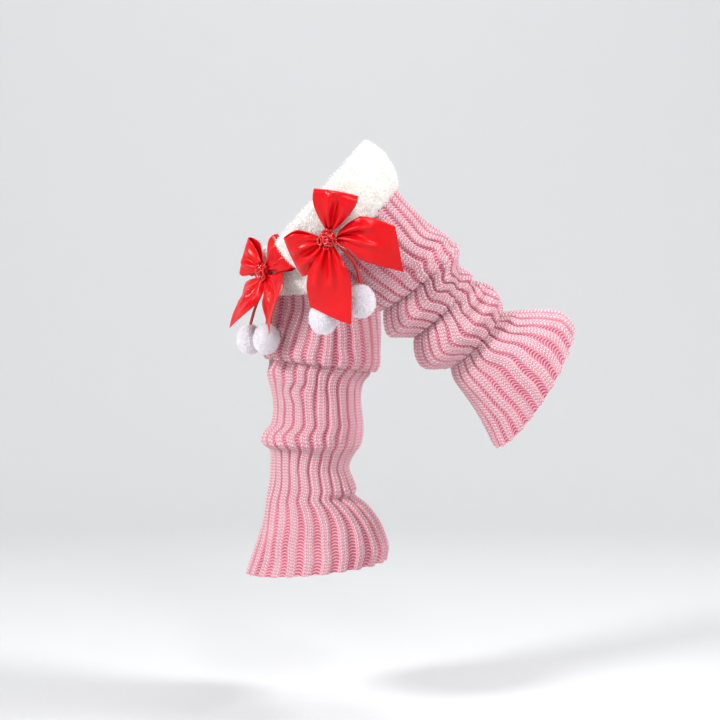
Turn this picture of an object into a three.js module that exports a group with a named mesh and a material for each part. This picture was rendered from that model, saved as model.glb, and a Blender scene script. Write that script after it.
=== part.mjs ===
// A pair of ribbed knit leg warmers with plush cuffs, ribbon bows and pompoms, held in the form in
// which they are worn: one on a standing leg, one on a lifted leg. Millimetres, +Z up.
// The origin is the centre of the standing leg warmer's top opening. -X is the wearer's front, and
// -Y the wearer's left. Each leg warmer is made upright in a frame of its own: its top opening is
// centred on the origin, the cloth hangs down -Z, +X is the back of the leg and -Y its left side.
import * as THREE from "three";
import { ConvexGeometry } from "three/addons/geometries/ConvexGeometry.js";

// Knit cloth
const RIB_COUNT = 24; // raised ribs round a tube
const CLOTH = 1.7; // wall in the grooves between the ribs
const RIB_HEIGHT = 1.5; // how far a rib stands out of the groove
const RIB_SHOULDERS = [0.22, 0.78]; // edges of a rib's flat top, as shares of the pitch

// A fold where the slouching cloth turns back up under itself and then down again, as steps from
// the fold's edge: `down` along the leg, `in` towards the leg, and the share of the rib that shows.
const FOLD_PATH = [
  { down: -2.6, in: 0, rib: 1 },
  { down: 0, in: 1.7, rib: 0.8 },
  { down: -1.0, in: 3.8, rib: 0.4 },
  { down: -8.2, in: 5.9, rib: 0.3 },
  { down: -5.8, in: 8.1, rib: 0.3 },
  { down: 2.2, in: 7.6, rib: 0.7 },
];

// Plush cuffs
const CUFF_HEIGHT = 47;
const PILE = 9; // backing and pile together
const CUFF_ROUNDS = 32;
const CUFF_SIDES = 10;
const CUFF_SQUARENESS = 0.6; // power of the section's rounded corners, 1 for an ellipse
const PILE_LUMPS = { height: 0.6, often: 7, seldom: 3, lean: 2.1 };

// Ribbon bows
const RIBBON_WIDTH = 38;
const RIBBON_WALL = 1;
const KNOT_RADIUS = 7;
const KNOT_LENGTH = 13;
const ROOT = KNOT_RADIUS + 0.5; // where each ribbon leaves the knot
const GATHERED = 7.6; // ribbon width at the knot
const GATHER_DEPTH = 1.3;
const GATHER_FADE = 1.4; // power by which the gathers fade as the ribbon opens
const GATHER_HALF_WAVES = 3; // from a ribbon's middle to either edge
const OPEN_POWER = 0.85;
const WRAP_RADIUS = 110; // the bow bends round the leg on this radius
const ACROSS = 6; // strips across a ribbon
const LOOP_STEPS = 11;
const LOOP_ROOT_HEIGHT = 1.8; // half the distance between a loop's two layers at the knot
const LOOP_FULLNESS = 0.8; // power of a loop's reach, less for a squarer end
const TAIL_STEPS = 7;
const TAIL_SAG = 1.6; // power of a tail's lean, more for a later bend

// Knots: cord wound round the gathered ribbon
const KNOT_TURNS = 3;
const KNOT_SIDES = 12;
const KNOT_END_SHARE = 0.72; // radius at the knot's ends, as a share of its middle
const TURN_DEPTH = 0.9; // groove between two turns of cord
const WOUND_SHARE = 0.94; // share of the knot's length that is wound

// Pompoms and their cords
const CORD_DIAMETER = 3;
const CORD_SIDES = 8;
const CORD_STEPS = 9;
const POMPOM = { wide: 27, tall: 31, lock: 2.4 };

// Sections of each tube, from the cuff down to the hem. `along` is measured down the leg, `front`,
// `back` and `deep` are the reach of the cloth to the front, to the back and to either side,
// `slant` is how much lower the section is at the back than at the front, and `turn` twists the
// ribs round the leg, in degrees. Each inner list ends where a fold of the next table begins.
const STANDING = {
  place: { position: [0, 0, 0], lean: 0, splay: 0 },
  cuff: [
    { along: 0, front: 56, back: 56, deep: 55 },
    { along: 20, front: 58, back: 58, deep: 57 },
    { along: 38, front: 56, back: 58.5, deep: 56.5 },
    { along: 47, front: 52.3, back: 55.8, deep: 53.3 },
  ],
  stretches: [
    [
      { along: 47.3, front: 52, back: 55.5, deep: 53, slant: 0, turn: 9 },
      { along: 64, front: 53, back: 56.5, deep: 54, slant: 2, turn: 7 },
      { along: 80, front: 54.5, back: 57, deep: 55, slant: 5, turn: 4 },
      { along: 96, front: 57, back: 56.5, deep: 56, slant: 9, turn: 1 },
    ],
    [
      { along: 126, front: 52.5, back: 41, deep: 48, slant: 7, turn: 0 },
      { along: 136, front: 51, back: 38, deep: 47, slant: 3, turn: 1 },
      { along: 150, front: 48.5, back: 36.5, deep: 45.5, slant: 1, turn: 0 },
      { along: 163, front: 48.5, back: 37.5, deep: 45.5, slant: 0, turn: 0 },
      { along: 175, front: 52, back: 38.5, deep: 47, slant: -1, turn: -2 },
      { along: 184, front: 59.5, back: 38.5, deep: 51, slant: 0, turn: -2 },
      { along: 192, front: 60.5, back: 37, deep: 52, slant: 2, turn: -2 },
      { along: 198, front: 53, back: 33, deep: 46.5, slant: 3, turn: -1 },
      { along: 205, front: 51, back: 29, deep: 43, slant: 2, turn: 0 },
      { along: 216, front: 51, back: 26, deep: 41, slant: 1, turn: 0 },
      { along: 228, front: 51.5, back: 30, deep: 41.5, slant: 0, turn: 1 },
      { along: 238, front: 53.5, back: 33, deep: 43, slant: -1, turn: 1 },
      { along: 245, front: 55, back: 31, deep: 44.5, slant: -3, turn: 1 },
      { along: 256, front: 57, back: 42, deep: 49, slant: -5, turn: 1 },
      { along: 271, front: 60.5, back: 53, deep: 55, slant: -8, turn: 0 },
      { along: 288, front: 66, back: 61, deep: 60, slant: -11, turn: 0 },
      { along: 302, front: 71, back: 64.5, deep: 63, slant: -13, turn: -1 },
      { along: 314, front: 75, back: 62.5, deep: 65, slant: -14, turn: -1 },
    ],
  ],
  folds: [{ along: 114, front: 58, back: 54.5, deep: 56.5, slant: 13, turn: 0 }],
};

const LIFTED = {
  place: { position: [1.7, -130, 40.9], lean: -48.7, splay: 7.2 },
  cuff: [
    { along: 0, front: 57, back: 57, deep: 56 },
    { along: 20, front: 60, back: 57.5, deep: 58 },
    { along: 38, front: 59, back: 52, deep: 56 },
    { along: 47, front: 56.3, back: 46.3, deep: 51.8 },
  ],
  stretches: [
    [
      { along: 47.3, front: 56, back: 46, deep: 51.5, slant: 0, turn: -3 },
      { along: 66, front: 55, back: 43, deep: 50, slant: 3, turn: -3 },
      { along: 84, front: 52.5, back: 42, deep: 49, slant: 8, turn: -1 },
      { along: 99, front: 48, back: 44.5, deep: 48, slant: 13, turn: 2 },
    ],
    [
      { along: 127, front: 49.5, back: 37, deep: 43.5, slant: 9, turn: 2 },
      { along: 134, front: 55.5, back: 34.5, deep: 45, slant: 5, turn: 0 },
      { along: 140, front: 51, back: 33, deep: 44, slant: 4, turn: -2 },
    ],
    [
      { along: 158, front: 47, back: 31, deep: 42.5, slant: 2, turn: -1 },
      { along: 166, front: 54.5, back: 36, deep: 45.5, slant: 1, turn: 1 },
      { along: 175, front: 57, back: 39, deep: 47.5, slant: 1, turn: 2 },
      { along: 182, front: 53, back: 36.5, deep: 46, slant: 2, turn: 1 },
    ],
    [
      { along: 204, front: 46.5, back: 33.5, deep: 41.5, slant: -2, turn: 0 },
      { along: 218, front: 50.5, back: 45, deep: 47, slant: -7, turn: 0 },
      { along: 233, front: 54.5, back: 56.5, deep: 53, slant: -13, turn: 1 },
      { along: 248, front: 60, back: 64, deep: 58, slant: -19, turn: 1 },
      { along: 264, front: 67.5, back: 63, deep: 61.5, slant: -24, turn: 2 },
    ],
  ],
  folds: [
    { along: 117, front: 46.5, back: 46, deep: 47.5, slant: 15, turn: 3 },
    { along: 149, front: 45.5, back: 33, deep: 43.5, slant: 4, turn: -3 },
    { along: 191, front: 46.5, back: 34, deep: 44, slant: 2, turn: -1 },
  ],
};

// Bows. `around` is where the knot sits, in degrees from the leg's left side towards its front,
// `facing` the way it looks, and `below` its distance below the top edge. Headings are degrees
// anticlockwise from the wearer's back, seen from outside. `open` is the share of the ribbon's
// length after which it has its full width. `lean` is how far the end stands out from the leg,
// `crown` how far the ribbon arches between its ends, `layer` where it leaves the knot, out or
// in, `cut` how far a tail's long corner passes the middle of its end, and `twist` how far the
// end is turned about the tail's length.
const STANDING_BOW = {
  around: 54,
  facing: 46,
  below: 25,
  standoff: 68,
  loops: [
    { name: "loop_back", heading: 33, reach: 36, open: 0.7, puff: 7, lean: 3 },
    { name: "loop_front", heading: 149, reach: 36, open: 0.6, puff: 7, lean: 3 },
  ],
  tails: [
    {
      name: "tail_back",
      heading: -55,
      reach: 47,
      open: 0.5,
      cut: 14,
      curl: 2,
      crown: 3,
      lean: 17.5,
      layer: 1,
      twist: 0,
    },
    {
      name: "tail_front",
      heading: -112,
      reach: 44,
      open: 0.5,
      cut: 9,
      curl: -2,
      crown: 2,
      lean: 22.5,
      layer: 2.4,
      twist: 38,
    },
  ],
};

const LIFTED_BOW = {
  around: 25,
  facing: 25,
  below: 28.5,
  standoff: 69.6,
  loops: [
    { name: "loop_back", heading: 31, reach: 41, open: 0.75, puff: 7, lean: 4 },
    { name: "loop_front", heading: 164, reach: 40, open: 0.55, puff: 7, lean: 2 },
  ],
  tails: [
    {
      name: "tail_back",
      heading: -57,
      reach: 62,
      open: 0.36,
      cut: 7,
      curl: 3,
      crown: 6,
      lean: 4,
      layer: -1,
      twist: 0,
    },
    {
      name: "tail_front",
      heading: -132,
      reach: 63,
      open: 0.4,
      cut: 7,
      curl: 1,
      crown: 5.5,
      lean: 22,
      layer: 3.4,
      twist: 0,
    },
  ],
};

// Each cord hangs from a knot to the top of its pompom. `route` is points along the cord and
// `pompom` the pompom's centre, in the pair's own frame.
const HANGING = [
  {
    name: "standing_front",
    route: [[-55.4, -34.5, -31], [-58.5, -32.5, -43], [-65, -28.5, -59], [-70.3, -24.5, -76.3]],
    pompom: [-70.6, -24, -90.3],
  },
  {
    name: "standing_back",
    route: [[-53.2, -36.8, -32.2], [-51.4, -40.4, -43], [-50.8, -45.5, -59], [-52.5, -49.4, -76.3]],
    pompom: [-52.9, -49.5, -90.2],
  },
  {
    name: "lifted_front",
    route: [[11.8, -183, -10.4], [9.5, -177, -24], [6.3, -167, -41], [4.8, -158.5, -59.4]],
    pompom: [4.7, -158, -73.3],
  },
  {
    name: "lifted_back",
    route: [[14.5, -184, -8.3], [24, -181.5, -16.5], [33, -174, -28.5], [37.4, -168.5, -45.1]],
    pompom: [37.7, -168, -59.1],
  },
];

const radians = THREE.MathUtils.degToRad;

function material(name, color, roughness) {
  return new THREE.MeshStandardMaterial({ name, color, roughness, metalness: 0 });
}

const KNIT = material("knit", 0xf2a9bd, 0.92);
const PLUSH = material("plush", 0xfaf6ec, 0.98);
const SATIN = material("satin", 0xe0101c, 0.38);
const CORD = material("cord", 0xd8121e, 0.45);
const FLUFF = material("fluff", 0xf3f1f6, 0.97);

// A closed geometry from points and faces.
function geometryOf(points, faces) {
  const geometry = new THREE.BufferGeometry();
  geometry.setAttribute(
    "position",
    new THREE.Float32BufferAttribute(points.flatMap((p) => [p.x, p.y, p.z]), 3),
  );
  geometry.setIndex(faces.flat());
  geometry.computeVertexNormals();
  return geometry;
}

// The rows of a whole tube, with each fold's path set between the stretches that it parts.
function tubeRows(warmer) {
  return warmer.stretches.flatMap((stretch, i) => {
    const rows = stretch.map((row) => ({ ...row, rib: 1 }));
    const fold = warmer.folds[i];
    if (!fold) return rows;
    const path = FOLD_PATH.map((step) => ({
      ...fold,
      along: fold.along + step.down,
      front: fold.front - step.in,
      back: fold.back - step.in,
      deep: fold.deep - step.in,
      rib: step.rib,
    }));
    return [...rows, ...path];
  });
}

// A point of a section, `within` its reach. Angle 0 is the back of the leg and 90 degrees its left.
function sectionPoint(row, angle, within = 0) {
  const half = (row.front + row.back) / 2 - within;
  const centre = (row.back - row.front) / 2;
  const lower = (row.slant ?? 0) / 2;
  return new THREE.Vector3(
    centre + half * Math.cos(angle),
    (within - row.deep) * Math.sin(angle),
    -row.along - lower * Math.cos(angle),
  );
}

// Columns round the tube: a groove and the two shoulders of the rib after it, for each rib.
function ribColumns() {
  const columns = [];
  for (let rib = 0; rib < RIB_COUNT; rib++) {
    columns.push({ share: rib / RIB_COUNT, rise: 0 });
    for (const shoulder of RIB_SHOULDERS) {
      columns.push({ share: (rib + shoulder) / RIB_COUNT, rise: RIB_HEIGHT });
    }
  }
  return columns;
}

// The outward normal at each point of a grid of rings that are closed round.
function gridNormals(rings) {
  return rings.map((ring, i) => {
    const above = rings[Math.max(i - 1, 0)];
    const below = rings[Math.min(i + 1, rings.length - 1)];
    return ring.map((_, j) => {
      const before = ring[(j + ring.length - 1) % ring.length];
      const after = ring[(j + 1) % ring.length];
      const round = after.clone().sub(before);
      const down = below[j].clone().sub(above[j]);
      return round.cross(down).normalize();
    });
  });
}

// The knit tube: ribs raised in its outer points over a plain inside.
function knitTube(warmer) {
  const rows = tubeRows(warmer);
  const columns = ribColumns();
  const perRib = columns.length / RIB_COUNT;
  const middle = rows.map((row) =>
    columns.map(({ share }) =>
      sectionPoint(row, 2 * Math.PI * share + radians(row.turn), RIB_HEIGHT),
    ),
  );
  const normals = gridNormals(middle);
  const points = [];
  middle.forEach((ring, i) => {
    ring.forEach((p, j) => {
      const out = CLOTH / 2 + columns[j].rise * rows[i].rib;
      points.push(p.clone().addScaledVector(normals[i][j], out));
    });
  });
  const inside = points.length;
  middle.forEach((ring, i) => {
    for (let rib = 0; rib < RIB_COUNT; rib++) {
      const j = rib * perRib;
      points.push(ring[j].clone().addScaledVector(normals[i][j], -CLOTH / 2));
    }
  });
  const outer = (i, j) => i * columns.length + (j % columns.length);
  const inner = (i, rib) => inside + i * RIB_COUNT + (rib % RIB_COUNT);
  const faces = [];
  for (let i = 0; i + 1 < rows.length; i++) {
    for (let j = 0; j < columns.length; j++) {
      faces.push([outer(i, j), outer(i + 1, j + 1), outer(i + 1, j)]);
      faces.push([outer(i, j), outer(i, j + 1), outer(i + 1, j + 1)]);
    }
    for (let rib = 0; rib < RIB_COUNT; rib++) {
      faces.push([inner(i, rib), inner(i + 1, rib), inner(i + 1, rib + 1)]);
      faces.push([inner(i, rib), inner(i + 1, rib + 1), inner(i, rib + 1)]);
    }
  }
  const last = rows.length - 1;
  for (let rib = 0; rib < RIB_COUNT; rib++) {
    const j = rib * perRib;
    for (let k = 0; k < perRib; k++) {
      faces.push([inner(0, rib), outer(0, j + k + 1), outer(0, j + k)]);
      faces.push([inner(last, rib), outer(last, j + k), outer(last, j + k + 1)]);
    }
    faces.push([inner(0, rib), inner(0, rib + 1), outer(0, j + perRib)]);
    faces.push([inner(last, rib), outer(last, j + perRib), inner(last, rib + 1)]);
  }
  return geometryOf(points, faces);
}

// A row of a table at any distance along the leg.
function rowAt(table, along) {
  const next = table.findIndex((row) => row.along >= along);
  if (next === 0) return table[0];
  if (next < 0) return table[table.length - 1];
  const a = table[next - 1];
  const b = table[next];
  const t = (along - a.along) / (b.along - a.along);
  const mixed = {};
  for (const key of Object.keys(a)) mixed[key] = THREE.MathUtils.lerp(a[key], b[key], t);
  return mixed;
}

// A sine or cosine drawn towards a square wave, for a section with rounded corners.
function squared(value) {
  return Math.sign(value) * Math.abs(value) ** CUFF_SQUARENESS;
}

// The plush cuff: a thick ring with rounded edges and a lumpy pile. The table gives its middle.
function plushCuff(warmer) {
  const points = [];
  for (let i = 0; i < CUFF_ROUNDS; i++) {
    const angle = (2 * Math.PI * i) / CUFF_ROUNDS;
    for (let k = 0; k < CUFF_SIDES; k++) {
      const side = (2 * Math.PI * (k + 0.5)) / CUFF_SIDES;
      const up = squared(Math.sin(side));
      const out = squared(Math.cos(side));
      const along = (CUFF_HEIGHT * (1 - up)) / 2;
      const often = Math.sin(PILE_LUMPS.often * angle + PILE_LUMPS.lean * k);
      const seldom = Math.sin(PILE_LUMPS.seldom * angle + k);
      const lump = out > 0 ? PILE_LUMPS.height * often * seldom : 0;
      const row = rowAt(warmer.cuff, along);
      const p = sectionPoint({ ...row, along }, angle);
      const outward = new THREE.Vector3(Math.cos(angle), -Math.sin(angle), 0);
      points.push(p.addScaledVector(outward, (out * PILE) / 2 + lump));
    }
  }
  const at = (i, k) => (i % CUFF_ROUNDS) * CUFF_SIDES + (k % CUFF_SIDES);
  const faces = [];
  for (let i = 0; i < CUFF_ROUNDS; i++) {
    for (let k = 0; k < CUFF_SIDES; k++) {
      faces.push([at(i, k), at(i + 1, k + 1), at(i + 1, k)]);
      faces.push([at(i, k), at(i, k + 1), at(i + 1, k + 1)]);
    }
  }
  return geometryOf(points, faces);
}

// Where a bow's flat plan lies once it bends round the leg: x across, y up the leg, z outwards.
function wrapped(x, y, z) {
  const angle = x / WRAP_RADIUS;
  const radius = WRAP_RADIUS + z;
  return new THREE.Vector3(radius * Math.sin(angle), y, radius * Math.cos(angle) - WRAP_RADIUS);
}

// A ribbon of even wall from a grid of middle points, one row for each step along it.
function ribbonWall(middle) {
  const along = middle.length;
  const across = middle[0].length;
  const normals = middle.map((row, i) =>
    row.map((_, j) => {
      const before = middle[Math.max(i - 1, 0)][j];
      const after = middle[Math.min(i + 1, along - 1)][j];
      const left = row[Math.max(j - 1, 0)];
      const right = row[Math.min(j + 1, across - 1)];
      return after.clone().sub(before).cross(right.clone().sub(left)).normalize();
    }),
  );
  const points = [];
  for (const side of [1, -1]) {
    middle.forEach((row, i) =>
      row.forEach((p, j) => {
        points.push(p.clone().addScaledVector(normals[i][j], (side * RIBBON_WALL) / 2));
      }),
    );
  }
  const at = (side, i, j) => side * along * across + i * across + j;
  const faces = [];
  const quad = (a, b, c, d) => faces.push([a, b, c], [a, c, d]);
  for (let i = 0; i + 1 < along; i++) {
    for (let j = 0; j + 1 < across; j++) {
      quad(at(0, i, j), at(0, i + 1, j), at(0, i + 1, j + 1), at(0, i, j + 1));
      quad(at(1, i, j), at(1, i, j + 1), at(1, i + 1, j + 1), at(1, i + 1, j));
    }
    quad(at(0, i, 0), at(1, i, 0), at(1, i + 1, 0), at(0, i + 1, 0));
    const j = across - 1;
    quad(at(0, i, j), at(0, i + 1, j), at(1, i + 1, j), at(1, i, j));
  }
  for (let j = 0; j + 1 < across; j++) {
    quad(at(0, 0, j), at(0, 0, j + 1), at(1, 0, j + 1), at(1, 0, j));
    const i = along - 1;
    quad(at(0, i, j), at(1, i, j), at(1, i, j + 1), at(0, i, j + 1));
  }
  return geometryOf(points, faces);
}

// How wide a ribbon is spread at a share of its reach, and how deep its gathers still are. It is
// at its full width from the share `open` on.
function spread(share, open) {
  const opened = Math.min(1, share / open) ** OPEN_POWER;
  const half = THREE.MathUtils.lerp(GATHERED, RIBBON_WIDTH, opened) / 2;
  return { half, gather: GATHER_DEPTH * (1 - opened) ** GATHER_FADE };
}

// A loop: out over the front layer, round its end, and back to the knot along the rear layer.
function bowLoop(loop) {
  const heading = radians(loop.heading);
  const middle = [];
  for (let i = 0; i <= LOOP_STEPS; i++) {
    const round = (Math.PI * i) / LOOP_STEPS;
    const out = Math.sin(round) ** LOOP_FULLNESS;
    const distance = ROOT + (loop.reach - ROOT) * out;
    const { half, gather } = spread(out, loop.open);
    const lift = Math.cos(round) * (LOOP_ROOT_HEIGHT + loop.puff * Math.sin(round));
    const row = [];
    for (let j = 0; j <= ACROSS; j++) {
      const side = (2 * j) / ACROSS - 1;
      const x = distance * Math.cos(heading) - side * half * Math.sin(heading);
      const y = distance * Math.sin(heading) + side * half * Math.cos(heading);
      const folded = gather * Math.cos(GATHER_HALF_WAVES * Math.PI * side);
      row.push(wrapped(x, y, lift + folded + loop.lean * out));
    }
    middle.push(row);
  }
  return ribbonWall(middle);
}

// A tail: a single layer that spreads from the knot and ends in a slanting cut, longer on the
// edge towards the other tail.
function bowTail(tail) {
  const heading = radians(tail.heading);
  const towardsOther = tail.heading > -90 ? -1 : 1;
  const middle = [];
  for (let i = 0; i <= TAIL_STEPS; i++) {
    const share = i / TAIL_STEPS;
    const { half, gather } = spread(share, tail.open);
    const twist = radians(tail.twist) * share;
    const row = [];
    for (let j = 0; j <= ACROSS; j++) {
      const side = (2 * j) / ACROSS - 1;
      const cut = tail.cut * side * towardsOther * share;
      const distance = ROOT + (tail.reach - ROOT) * share + cut;
      const aside = side * half * Math.cos(twist);
      const x = distance * Math.cos(heading) - aside * Math.sin(heading);
      const y = distance * Math.sin(heading) + aside * Math.cos(heading);
      const arch = tail.crown * Math.sin(Math.PI * share) - tail.curl * side * side * share;
      const lean = THREE.MathUtils.lerp(tail.layer, tail.lean, share ** TAIL_SAG);
      const out = lean + arch + side * half * Math.sin(twist);
      const folded = gather * Math.cos(GATHER_HALF_WAVES * Math.PI * side);
      row.push(wrapped(x, y, out + folded));
    }
    middle.push(row);
  }
  return ribbonWall(middle);
}

// The knot: cord wound round the gathered ribbon, as a barrel with a ridge for each turn.
function bowKnot() {
  const profile = [new THREE.Vector2(0, -KNOT_LENGTH / 2)];
  const steps = KNOT_TURNS * 2;
  for (let i = 0; i <= steps; i++) {
    const share = i / steps;
    const swell = (1 - KNOT_END_SHARE) * Math.sin(Math.PI * share);
    const barrel = KNOT_RADIUS * (KNOT_END_SHARE + swell);
    const groove = i % 2 === 0 ? TURN_DEPTH : 0;
    profile.push(new THREE.Vector2(barrel - groove, (share - 0.5) * KNOT_LENGTH * WOUND_SHARE));
  }
  profile.push(new THREE.Vector2(0, KNOT_LENGTH / 2));
  return new THREE.LatheGeometry(profile, KNOT_SIDES);
}

// A pompom: sixty short three-sided locks on a ball.
function pompom() {
  const ball = [];
  for (const solid of [new THREE.IcosahedronGeometry(1), new THREE.DodecahedronGeometry(1)]) {
    const place = solid.getAttribute("position");
    for (let i = 0; i < place.count; i++) {
      ball.push(new THREE.Vector3().fromBufferAttribute(place, i).normalize());
    }
  }
  const size = new THREE.Vector3(POMPOM.wide, POMPOM.wide, POMPOM.tall).multiplyScalar(0.5);
  const inner = size.clone().subScalar(POMPOM.lock);
  const hull = new ConvexGeometry(ball).getAttribute("position");
  const points = [];
  const faces = [];
  for (let i = 0; i < hull.count; i += 3) {
    const corners = [0, 1, 2].map((k) => new THREE.Vector3().fromBufferAttribute(hull, i + k));
    const tip = new THREE.Vector3();
    for (const corner of corners) tip.add(corner);
    tip.normalize().multiply(size);
    const first = points.length;
    points.push(...corners.map((corner) => corner.multiply(inner)), tip);
    for (let k = 0; k < 3; k++) faces.push([first + k, first + ((k + 1) % 3), first + 3]);
  }
  return geometryOf(points, faces);
}

// A cord along its route.
function cordTube(route) {
  const section = new THREE.Shape();
  for (let i = 0; i < CORD_SIDES; i++) {
    const angle = (2 * Math.PI * (i + 0.5)) / CORD_SIDES;
    const corner = [(Math.cos(angle) * CORD_DIAMETER) / 2, (Math.sin(angle) * CORD_DIAMETER) / 2];
    if (i === 0) section.moveTo(...corner);
    else section.lineTo(...corner);
  }
  section.closePath();
  const extrudePath = new THREE.CatmullRomCurve3(route.map((p) => new THREE.Vector3(...p)));
  return new THREE.ExtrudeGeometry(section, { steps: CORD_STEPS, extrudePath });
}

function mesh(name, geometry, finish) {
  const made = new THREE.Mesh(geometry, finish);
  made.name = name;
  return made;
}

// The bow's own group: +X is the wearer's back as seen from outside, +Y up the leg, +Z outwards.
function bowGroup(side, bow) {
  const group = new THREE.Group();
  const around = radians(bow.around);
  const facing = radians(bow.facing);
  group.position.set(-Math.sin(around), -Math.cos(around), 0).multiplyScalar(bow.standoff);
  group.position.z = -bow.below;
  const out = new THREE.Vector3(-Math.sin(facing), -Math.cos(facing), 0);
  const up = new THREE.Vector3(0, 0, 1);
  const across = up.clone().cross(out);
  group.setRotationFromMatrix(new THREE.Matrix4().makeBasis(across, up, out));
  const knot = mesh(side + "_bow_knot", bowKnot(), CORD);
  knot.rotation.z = Math.PI / 2;
  group.add(knot);
  for (const loop of bow.loops) group.add(mesh(`${side}_bow_${loop.name}`, bowLoop(loop), SATIN));
  for (const tail of bow.tails) group.add(mesh(`${side}_bow_${tail.name}`, bowTail(tail), SATIN));
  return group;
}

// One leg warmer, placed as it is worn.
function legWarmer(side, warmer, bow) {
  const group = new THREE.Group();
  const { position, lean, splay } = warmer.place;
  group.position.set(...position);
  group.rotation.set(radians(splay), radians(lean), 0, "YXZ");
  group.add(mesh(side + "_knit_tube", knitTube(warmer), KNIT));
  group.add(mesh(side + "_plush_cuff", plushCuff(warmer), PLUSH));
  group.add(bowGroup(side, bow));
  return group;
}

// A cord and the pompom on its end.
function hangingPompom(hanging) {
  const group = new THREE.Group();
  group.add(mesh(hanging.name + "_cord", cordTube(hanging.route), CORD));
  const ball = mesh(hanging.name + "_pompom", pompom(), FLUFF);
  ball.position.set(...hanging.pompom);
  group.add(ball);
  return group;
}

const pair = new THREE.Group();
pair.add(legWarmer("standing", STANDING, STANDING_BOW));
pair.add(legWarmer("lifted", LIFTED, LIFTED_BOW));
for (const hanging of HANGING) pair.add(hangingPompom(hanging));

export default pair;
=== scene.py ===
import math

import bpy
import numpy as np
from mathutils import Matrix, Vector


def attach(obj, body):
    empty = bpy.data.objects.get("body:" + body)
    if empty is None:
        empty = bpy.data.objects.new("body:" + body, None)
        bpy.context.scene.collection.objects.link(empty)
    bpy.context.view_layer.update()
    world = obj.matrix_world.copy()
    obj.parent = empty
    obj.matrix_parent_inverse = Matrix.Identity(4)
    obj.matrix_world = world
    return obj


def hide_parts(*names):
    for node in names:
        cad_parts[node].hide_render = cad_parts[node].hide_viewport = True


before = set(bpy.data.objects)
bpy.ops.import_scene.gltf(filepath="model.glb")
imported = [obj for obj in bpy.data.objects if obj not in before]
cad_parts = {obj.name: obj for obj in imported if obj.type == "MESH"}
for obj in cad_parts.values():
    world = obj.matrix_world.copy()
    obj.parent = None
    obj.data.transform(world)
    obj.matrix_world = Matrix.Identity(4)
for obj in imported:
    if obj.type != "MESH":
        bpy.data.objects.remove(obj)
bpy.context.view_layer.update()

# Lengths are in millimetres and angles in degrees, unless said otherwise.
MM = 0.001

# Knit: its ribs, how finely they are drawn, how far they rise and sink, and its stitches
RIB_COUNT = 24
RIB_COLUMNS = 16
COLUMNS = RIB_COUNT * RIB_COLUMNS
TUBE_ROWS = 228
INNER_COLUMNS = 96
CLOTH = 1.7
RIB_TOP = 1.7
RIB_SINK = 0.75
STITCH_HEIGHT = 3.0
RELAXED_PITCH = 10.0
STRETCHED_PITCH = 16.5
EDGE_PATTERN = 0.25

# A groove's share of half a rib where the cloth is relaxed, what stretching adds, and its share of
# the stitch pattern
GROOVE_RELAXED = 0.13
GROOVE_STRETCH = 0.15
GROOVE_PATTERN = 0.17

# Shares of a rib's width: floor of the groove, flank of the rib, dip between its two columns
GROOVE_FLOOR = 0.06
RIB_FLANK = 0.20
DIP_WIDTH = 0.045
DIP_DEPTH = 0.14

# Last rows of the hem, which bulge on each rib
HEM_REACH = 5
HEM_BULGE = 1.1

# How far the cloth's middle is inside the outline that its sections give
MIDDLE_INSET = 1.5

# Reach of a fold along the leg, and where the cloth starts to slouch and slouches fully
FOLD_REACH = 9
SLOUCH_FROM = 60
SLOUCH_OVER = 40

# Waves of the slouching cloth: times round the leg, length along it, phase in radians, size
SLOUCH_OUT = ((3, 19, 0.4, 0.35), (5, 13, 2.1, 0.25), (2, 31, 4.0, 0.4))
SLOUCH_ASIDE = ((2, 17, 1.0, 0.9), (3, 11, 3.3, 0.5), (7, 9, 0.6, 0.3))

# Plush cuff: height and thickness with its pile, thickness of the backing, squareness of its edge
CUFF_HEIGHT = 47.0
CUFF_THICK = 9.0
BACKING_THICK = 7.7
EDGE_POWER = 0.6
CUFF_FIBRES = 26000
CUFF_FACE_SHARE = 0.72
CUFF_FIBRE = dict(length=3.1, width=0.6, bend=0.8)
CUFF_DRIFT = dict(whirl=0.55, stray=0.35, sag=0.15)
CUFF_LUMPS = (0.7, 0.5)

# Pompoms
POMPOM_WIDE = 27.0
POMPOM_TALL = 31.0
POMPOM_FIBRES = 6500
POMPOM_FIBRE = dict(length=3.5, width=0.42, bend=0.35)
POMPOM_DRIFT = dict(stray=0.30, sag=0.12)
POMPOM_SEED = 11
POMPOM_ROOT_INSET = 3.4
POMPOM_CORE_INSET = 3.0

# Fibres: ranges of their lengths and curls, and the blade as shares of its length and width
FIBRE_LENGTHS = (0.7, 1.2)
FIBRE_CURLS = (0.4, 1.3)
BLADE = ((0.0, 1.0), (0.45, 0.85), (0.8, 0.55))
BLADE_TIP = 0.93

# Ribbon and cord: the ribbon lies as if wrapped on a wide drum, gathered where it leaves the knot
CORD_DIAMETER = 3.0
RIBBON_WIDTH = 38.0
RIBBON_WALL = 0.5
RIBBON_ROOT = 7.5
RIBBON_GATHERED = 7.6
WRAP_RADIUS = 110.0
LOOP_STEPS = 72
TAIL_STEPS = 56
CORD_STEPS = 25
ACROSS = np.linspace(-1, 1, 36)[None, :]

# Forms of the ribbon: gathers beside the knot, how far a loop's sides start and puff apart, how
# its end is bowed, how much of the gathers its rear side has, and how a tail's end rolls
PLEAT_HEIGHT = 1.9
PLEAT_REACH = 0.36
LOOP_APART = 1.8
LOOP_PUFF = 7
LOOP_BOWED = 0.035
REAR_PLEATS = 0.35
END_ROLL = 2.2

# A way along none of the cord's turns, from which the cord's section starts
SKEW_WAY = (0.31, 0.52, 0.79)

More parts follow.
